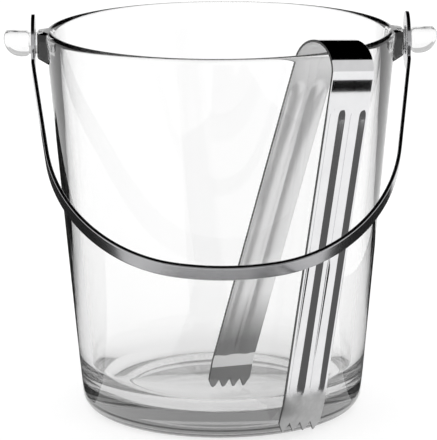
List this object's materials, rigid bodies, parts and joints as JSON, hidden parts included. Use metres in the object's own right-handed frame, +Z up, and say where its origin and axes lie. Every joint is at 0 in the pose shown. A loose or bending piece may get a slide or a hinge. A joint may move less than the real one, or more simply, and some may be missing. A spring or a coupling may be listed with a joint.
{
  "type": "ice bucket",
  "caption": "Clear tapered glass ice bucket with moulded side lugs, a swinging steel strip bail and spring ice tongs hung over the rim.",
  "frame": {"origin": "centre of the flat base, on the table it stands on", "axes": "+Z up, X through the two lugs, -Y towards the side where the bail hangs"},
  "size_m": [0.1626, 0.1359, 0.152],
  "materials": {
    "clear_glass": "polished pressed glass",
    "bail_steel": "polished stainless strip",
    "tongs_steel": "mirror-polished spring stainless"
  },
  "bodies": {
    "bucket": {"glass_bucket": "clear_glass"},
    "bail": {"bail_handle": "bail_steel"},
    "tongs": {"tongs_bow": "tongs_steel", "tongs_outer_leg": "tongs_steel"},
    "tongs_inner": {"tongs_inner_leg": "tongs_steel"}
  },
  "joints": [
    {"name": "bail_swing", "type": "hinge", "parent": "bucket", "child": "bail", "pos_m": [0, 0, 0.1412], "axis": [-1, 0, 0], "range_deg": [0, 277]},
    {"name": "tongs_lift", "type": "slide", "parent": "bucket", "child": "tongs", "axis": [0.1408, -0.0057, 0.99], "range_m": [0, 0.15]},
    {"name": "tongs_spring", "type": "hinge", "parent": "tongs", "child": "tongs_inner", "pos_m": [0.03987, -0.04444, 0.1379], "axis": [0.7959, 0.5954, -0.1097], "range_deg": [-1.2, 8], "stiffness_Nm_per_rad": 6, "deforming": ["tongs_bow"]}
  ]
}
